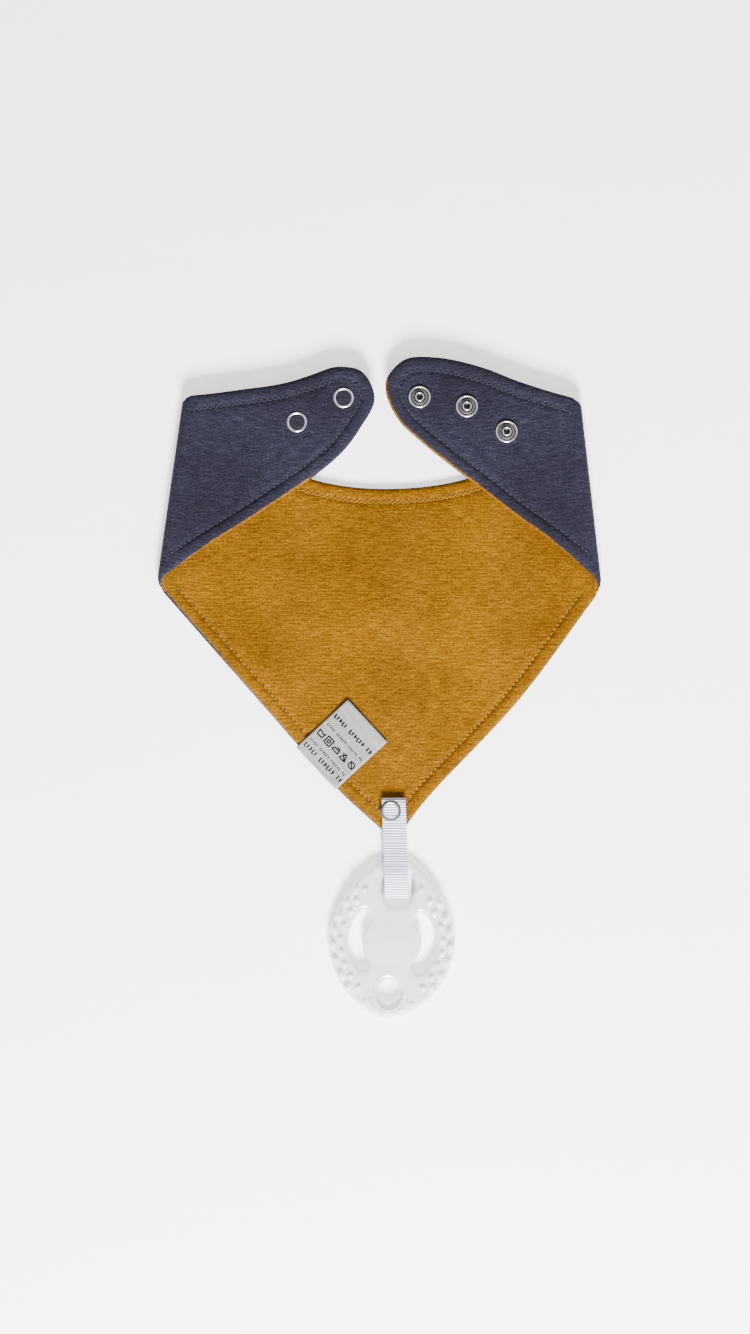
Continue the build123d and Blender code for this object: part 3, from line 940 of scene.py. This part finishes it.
def teether_piece():
    half = TEETHER_HALF
    loop = smooth_curve(half + [(-x, y) for x, y in half[-2:0:-1]], 1.1, closed=True)
    hole = np.array([(HOLE_R[0] * math.cos(t), HOLE_Y + HOLE_R[1] * math.sin(t))
                     for t in np.linspace(0, 2 * math.pi, 40, endpoint=False)])
    loops = [loop, slot_loop(1), slot_loop(-1), hole, strap_slot_loop()]
    points, faces, on_edge = triangulate(loops, (0.25, 0.6, 1.0, 1.5, 2.1, 2.8), 0.55)
    starts = np.vstack(loops)
    ends = np.vstack([np.roll(x, -1, axis=0) for x in loops])
    edge, _ = nearest(points, starts, ends)
    half_t = TEETHER_HALF_T * np.sqrt(1 - (1 - np.clip(edge / 2.9, 0, 1)) ** 2)
    bar = smoothstep(points[:, 1], 24.5, 28.0) * smoothstep(-np.abs(points[:, 0]), -10.5, -7.5)
    half_t = half_t * (1 - bar * 0.42)
    r = np.linalg.norm(points - (0, SLOT_CENTRE_Y), axis=1)
    relief = 1.2 * np.clip(1 - (r / 11.5) ** 2, 0, 1) ** 1.6
    for places, radius, height in bead_rows(loop):
        relief = np.maximum(relief, bump_field(points, places, radius, height))
    ring = np.linalg.norm((points - (0, HOLE_Y)) / (1, 1.12), axis=1)
    for radius, start in ((7.4, -1.0), (9.2, 2.5), (11.4, 3.5), (13.6, 4.5)):
        below = smoothstep(HOLE_Y - points[:, 1], start, start + 1.2)
        ridge = 1.3 * np.sqrt(np.clip(1 - ((ring - radius) / 0.7) ** 2, 0, 1))
        relief = np.maximum(relief, ridge * below)
    relief = relief * smoothstep(edge, 0.0, 0.9)
    c, s = math.cos(TEETHER_TURN), math.sin(TEETHER_TURN)
    x = TEETHER_CENTRE[0] + points[:, 0] * c - points[:, 1] * s
    y = TEETHER_CENTRE[1] + points[:, 0] * s + points[:, 1] * c
    upper = np.column_stack([x, y, TEETHER_HALF_T + half_t + relief])
    lower = np.column_stack([x, y, TEETHER_HALF_T - half_t])
    verts, _, up, down, walls = closed_skin(points, faces, on_edge, upper, lower)
    return mesh_object("teether_silicone", verts, up + down + walls, [silicone])


# ---------------- snaps

# Material slots of a snap: polished nickel; near-black painted shade for the recesses, plus a painted dark
# reflection on the tip ring's outer slope; darker nickel as painted shade for dimmer bands
POLISHED, PAINTED_SHADE, SHADED = 0, 1, 2


def profile(*bands):
    """A turned outline as (radius, height, material slot), from bands of points that share a slot."""
    return [(r, z, material_slot) for material_slot, *points in bands for r, z in points]


RING_PROFILE = profile(
    (PAINTED_SHADE, (3.2, -0.1), (3.2, 0.12), (3.45, 0.2), (3.62, 0.35)),
    (POLISHED, (3.78, 0.62), (4.0, 0.85), (4.3, 0.95), (4.6, 0.85), (4.8, 0.6), (4.85, 0.3), (4.85, 0.0)),
)
TIP_RING_PROFILE = profile(
    (PAINTED_SHADE, (3.1, -0.1), (3.1, 0.12)),
    (POLISHED, (3.35, 0.35), (3.6, 0.62), (3.85, 0.85)),
    (SHADED, (4.1, 0.95)),
    (PAINTED_SHADE, (4.35, 0.90), (4.6, 0.75), (4.8, 0.5), (4.85, 0.2), (4.85, 0.0)),
)
STUD_PROFILE = profile(
    (PAINTED_SHADE, (0.0, 0.9), (1.2, 0.95), (1.5, 1.2), (1.5, 2.5)),
    (POLISHED, (1.62, 2.78), (1.82, 2.9), (2.05, 2.78)),
    (PAINTED_SHADE, (2.15, 2.5), (2.15, 0.8), (2.2, 0.4), (2.6, 0.35)),
    (SHADED, (2.85, 0.60), (3.35, 0.62)),
    (PAINTED_SHADE, (3.65, 0.45), (3.8, 0.3), (4.15, 0.35)),
    (POLISHED, (4.35, 0.8), (4.65, 1.08), (4.95, 1.05), (5.17, 0.8), (5.25, 0.4), (5.25, 0.0)),
)


def turned(name, centre, base, profile, sides=56):
    """A piece turned about a vertical axis. Each band takes the material slot of the profile point that ends
    it; slots 1 and 2 are painted shade.
    """
    angles = np.linspace(0, 2 * math.pi, sides, endpoint=False)
    verts = [(centre[0] + r * math.cos(a), centre[1] + r * math.sin(a), base + z)
             for r, z, _ in profile for a in angles]
    faces, kinds = [], []
    for row, (_, _, kind) in enumerate(profile[1:]):
        for i in range(sides):
            j = (i + 1) % sides
            faces.append((row * sides + i, row * sides + j, (row + 1) * sides + j, (row + 1) * sides + i))
            kinds.append(kind)
    return mesh_object(name, verts, [f[::-1] for f in faces], [nickel, painted_shade_metal, shaded_nickel], kinds)


def snaps():
    """The metal that shows: rings on the left wing and the ribbon, studs on the right wing."""
    placed = [(f"left_prong_ring_{i}", place, RING_BASE_Z, RING_PROFILE, "left_wing")
              for i, place in enumerate(LEFT_SNAPS, 1)]
    placed.append(("ribbon_prong_ring", TIP_SNAP, TIP_RING_BASE_Z, TIP_RING_PROFILE, "strap_end"))
    placed += [(f"right_snap_stud_{i}", place, STUD_BASE_Z, STUD_PROFILE, "right_wing")
               for i, place in enumerate(RIGHT_SNAPS, 1)]
    for name, place, base, profile, body in placed:
        piece = turned(f"turned_{name}", place, base, profile)
        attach(piece, body)
        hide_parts(name)


# ---------------- stage

def area_light(name, place, size, power):
    """A square lamp that points at the origin."""
    data = bpy.data.lights.new(name, "AREA")
    data.shape = "SQUARE"
    data.size = size
    data.energy = power
    lamp = linked(name, data)
    lamp.location = place
    lamp.rotation_euler = (-Vector(place)).to_track_quat("-Z", "Y").to_euler()


def make_floor():
    mesh = bpy.data.meshes.new("floor")
    corners = ((-1, -1), (1, -1), (1, 1), (-1, 1))
    mesh.from_pydata([(x * FLOOR_HALF, y * FLOOR_HALF, FLOOR_Z) for x, y in corners], [], [(0, 1, 2, 3)])
    mesh.materials.append(floor_material())
    linked("floor", mesh)


def make_camera():
    data = bpy.data.cameras.new("camera")
    data.sensor_width = SENSOR
    data.lens = SENSOR * CAMERA_HEIGHT / FRAME_HEIGHT
    camera = linked("camera", data)
    camera.location = (-0.0021, 0.0097, CAMERA_HEIGHT)
    bpy.context.scene.camera = camera


def make_world():
    """Bright walls and a dimmer ceiling, so that the metal has something to mirror."""
    world = bpy.data.worlds.new("studio")
    world.use_nodes = True
    tree = world.node_tree
    coordinates = tree.nodes.new("ShaderNodeTexCoord")
    parts = tree.nodes.new("ShaderNodeSeparateXYZ")
    tree.links.new(coordinates.outputs["Generated"], parts.inputs["Vector"])
    height = ramp(tree, parts.outputs["Z"], [(0.0, (1.0, 1.0, 1.0)), (0.62, (1.0, 1.0, 1.0)),
                                             (0.90, (0.30, 0.31, 0.34)), (0.985, (0.05, 0.05, 0.06))])
    background = tree.nodes["Background"]
    tree.links.new(height, background.inputs["Color"])
    background.inputs["Strength"].default_value = 0.95
    bpy.context.scene.world = world


# ---------------- the bib

mustard = jersey("mustard_jersey", (0.145, 0.056, 0.0003), (0.215, 0.089, 0.0004), (0.30, 0.130, 0.0008),
                 0.12, (1.0, 0.85, 0.45))
navy = jersey("navy_jersey", (0.013, 0.0125, 0.023), (0.022, 0.021, 0.037), (0.037, 0.035, 0.059),
              0.16, (0.6, 0.62, 0.75))
gold_thread = thread_material("gold_thread", (0.30, 0.135, 0.002))
dark_thread = thread_material("dark_thread", (0.032, 0.032, 0.053))
# Painted shade: the dark discs stand for the shade in the needle holes
mustard_hole_shade = material("mustard_needle_hole_shade", (0.020, 0.007, 0.0004), 0.95)
navy_hole_shade = material("navy_needle_hole_shade", (0.0008, 0.0008, 0.0018), 0.95)
nickel = metal_material()
# Painted shade: near-black metal for the snaps' shaded recesses, and a painted dark reflection on the tip
# ring's outer rim
painted_shade_metal = material("snap_painted_shade", (0.018, 0.018, 0.02), 0.55)
shaded_nickel = material("snap_shaded_nickel", (0.30, 0.29, 0.28), 0.35, Metallic=1.0)
ribbon_white = ribbon_material()
satin = satin_material()
print_ink = material("label_ink", (0.006, 0.006, 0.008), 0.85, Specular_IOR_Level=0.1)
silicone = silicone_material()

left_fold, right_fold = Fold(LEFT_FOLD), Fold(RIGHT_FOLD)
METAL_NODES = (["tip_prong_ring", "tip_snap_stud", "ribbon_snap_socket", "ribbon_socket_spring"]
               + [f"left_{x}_{i}" for x in ("snap_socket", "socket_spring") for i in (1, 2)]
               + [f"right_prong_ring_{i}" for i in (1, 2, 3)])


def near_hinge_main(points):
    calm = smoothstep(np.abs(left_fold.main_flat(points)[:, 0]), 0.5, 10)
    return calm * smoothstep(np.abs(right_fold.main_flat(points)[:, 0]), 0.5, 10)


def near_hinge_wing(flat):
    return smoothstep(flat[:, 0], FOLD_LENGTH * 0.6, FOLD_LENGTH + 9)


def main_panel():
    loop, hem = main_loop(left_fold, right_fold)
    cloth = Cloth(loop, hem, [TIP_SNAP], main_place, near_hinge_main)
    obj = cloth_object("main_panel", cloth, (0.5, 0.4), 0.0, lambda p: np.zeros(len(p), bool))
    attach(obj, "bib")
    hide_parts("front_panel", "absorbent_lining", "back_panel")
    line = seam_line(cloth, HEM)
    lower, upper = line[line[:, 1] < 70], line[line[:, 1] > 70]
    for name, skin, thread in (("main_topstitch", 0, gold_thread), ("main_topstitch_back", 1, dark_thread)):
        ends = stitches(cloth, lower, STITCH_PITCH, 0, skin)
        ends += stitches(cloth, upper, ZIGZAG_PITCH, 0.75, skin)
        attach(stitch_object(name, ends, thread, mustard_hole_shade if skin == 0 else navy_hole_shade), "bib")
    return obj


def cloth_nodes(side):
    layers = ("front", "lining", "back")
    return [f"{side}_fold_{x}" for x in layers] + [f"{side}_wing_{x}" for x in layers]


def wing(side, fold, main_ends, wing_ends, edge, snaps, far, rim_end):
    """A wing with its half turn. Its inner skin shows as a rim from the fold to rim_end."""
    loop, hem = wing_loop(fold, main_ends, wing_ends, edge)
    cloth = Cloth(loop, hem, fold.wing_flat(snaps), fold.place, near_hinge_wing)
    top_corner, far_corner, last_rim = fold.wing_flat([fold.hinge(wing_ends[0]), far, rim_end])

    def rolled(points):
        """Share of the rim's width: it grows below the line from the fold's top to the far corner."""
        slope = (far_corner[1] - top_corner[1]) / (far_corner[0] - top_corner[0])
        line = top_corner[1] + slope * (points[:, 0] - top_corner[0])
        growth = smoothstep(points[:, 0], FOLD_LENGTH * 0.9, FOLD_LENGTH * 0.9 + 30)
        return growth * (points[:, 0] < last_rim[0]) * (points[:, 1] < line - 9)

    obj = cloth_object(f"{side}_wing_cloth", cloth, (0.2, 0.2), 1.15, rolled, FOLD_LENGTH)
    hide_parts(*cloth_nodes(side))
    line = seam_line(cloth, HEM)
    line = line[line[:, 0] > FOLD_LENGTH]
    top_side = np.arange(len(line)) > line[:, 0].argmax()
    for skin, thread, label in ((1, dark_thread, "topstitch"), (0, gold_thread, "topstitch_back")):
        ends = stitches(cloth, line[~top_side], STITCH_PITCH, 0, skin)
        ends += stitches(cloth, line[top_side], ZIGZAG_PITCH, 0.7, skin)
        hole = mustard_hole_shade if skin == 0 else navy_hole_shade
        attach(stitch_object(f"{side}_wing_{label}", ends, thread, hole), f"{side}_wing")
    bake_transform(obj)


main = main_panel()
wing("left", left_fold, LEFT_MAIN_ENDS, LEFT_WING_ENDS, LEFT_WING_EDGE, LEFT_SNAPS,
     (-8.0, 150.0), (-33.0, 99.0))
wing("right", right_fold, RIGHT_MAIN_ENDS, RIGHT_WING_ENDS, RIGHT_WING_EDGE, RIGHT_SNAPS,
     (8.6, 153.6), (-20.0, 140.0))

label = label_piece()
marks = label_marks()
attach(label, "label_flap")
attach(marks, "label_flap")
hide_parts("care_label")

end_path = [(-52.7, 4.5), (-53.0, 5.4), (-54.0, 6.05), (-58.0, 6.15), (-64.0, 6.15), (-68.0, 6.2),
            (STRAP_HINGE_Y, 6.45)]
loop_path = [(STRAP_HINGE_Y, 6.45), (-77.0, 6.9), (-83.0, 7.9), (-87.6, 8.8), (-90.0, 8.8), (-95.0, 7.2),
             (-98.6, 5.2), (-99.7, 3.2), (-99.2, 1.6), (-97.0, 0.7), (-90.0, 0.6), (-80.0, 0.7), (-75.0, 1.2),
             (STRAP_HINGE_Y, 1.5), (-66.5, 1.5)]
ribbon_end = ribbon_piece("ribbon_snap_end", end_path, ragged=True)
ribbon_loop = ribbon_piece("ribbon_teether_loop", loop_path)
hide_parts("ribbon_end", "ribbon_front_bend")
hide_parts("ribbon_loop", "ribbon_seam_tab")
for piece, length, body, end_y in ((ribbon_end, 0.0195, "strap_end", -66.5),
                                   (ribbon_loop, 0.064, "strap_loop", -78.0)):
    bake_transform(piece)

teether = teether_piece()
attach(teether, "teether")
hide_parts("teether")

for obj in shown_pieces():
    if obj.type == "MESH" and obj.name in METAL_NODES:
        obj.data.materials.clear()
        obj.data.materials.append(nickel)

snaps()
make_floor()
make_camera()
make_world()
area_light("key", (0.12, -1.25, 0.95), 0.5, 165)
area_light("fill", (0.9, 0.4, 1.1), 1.2, 9)

bpy.context.view_layer.update()
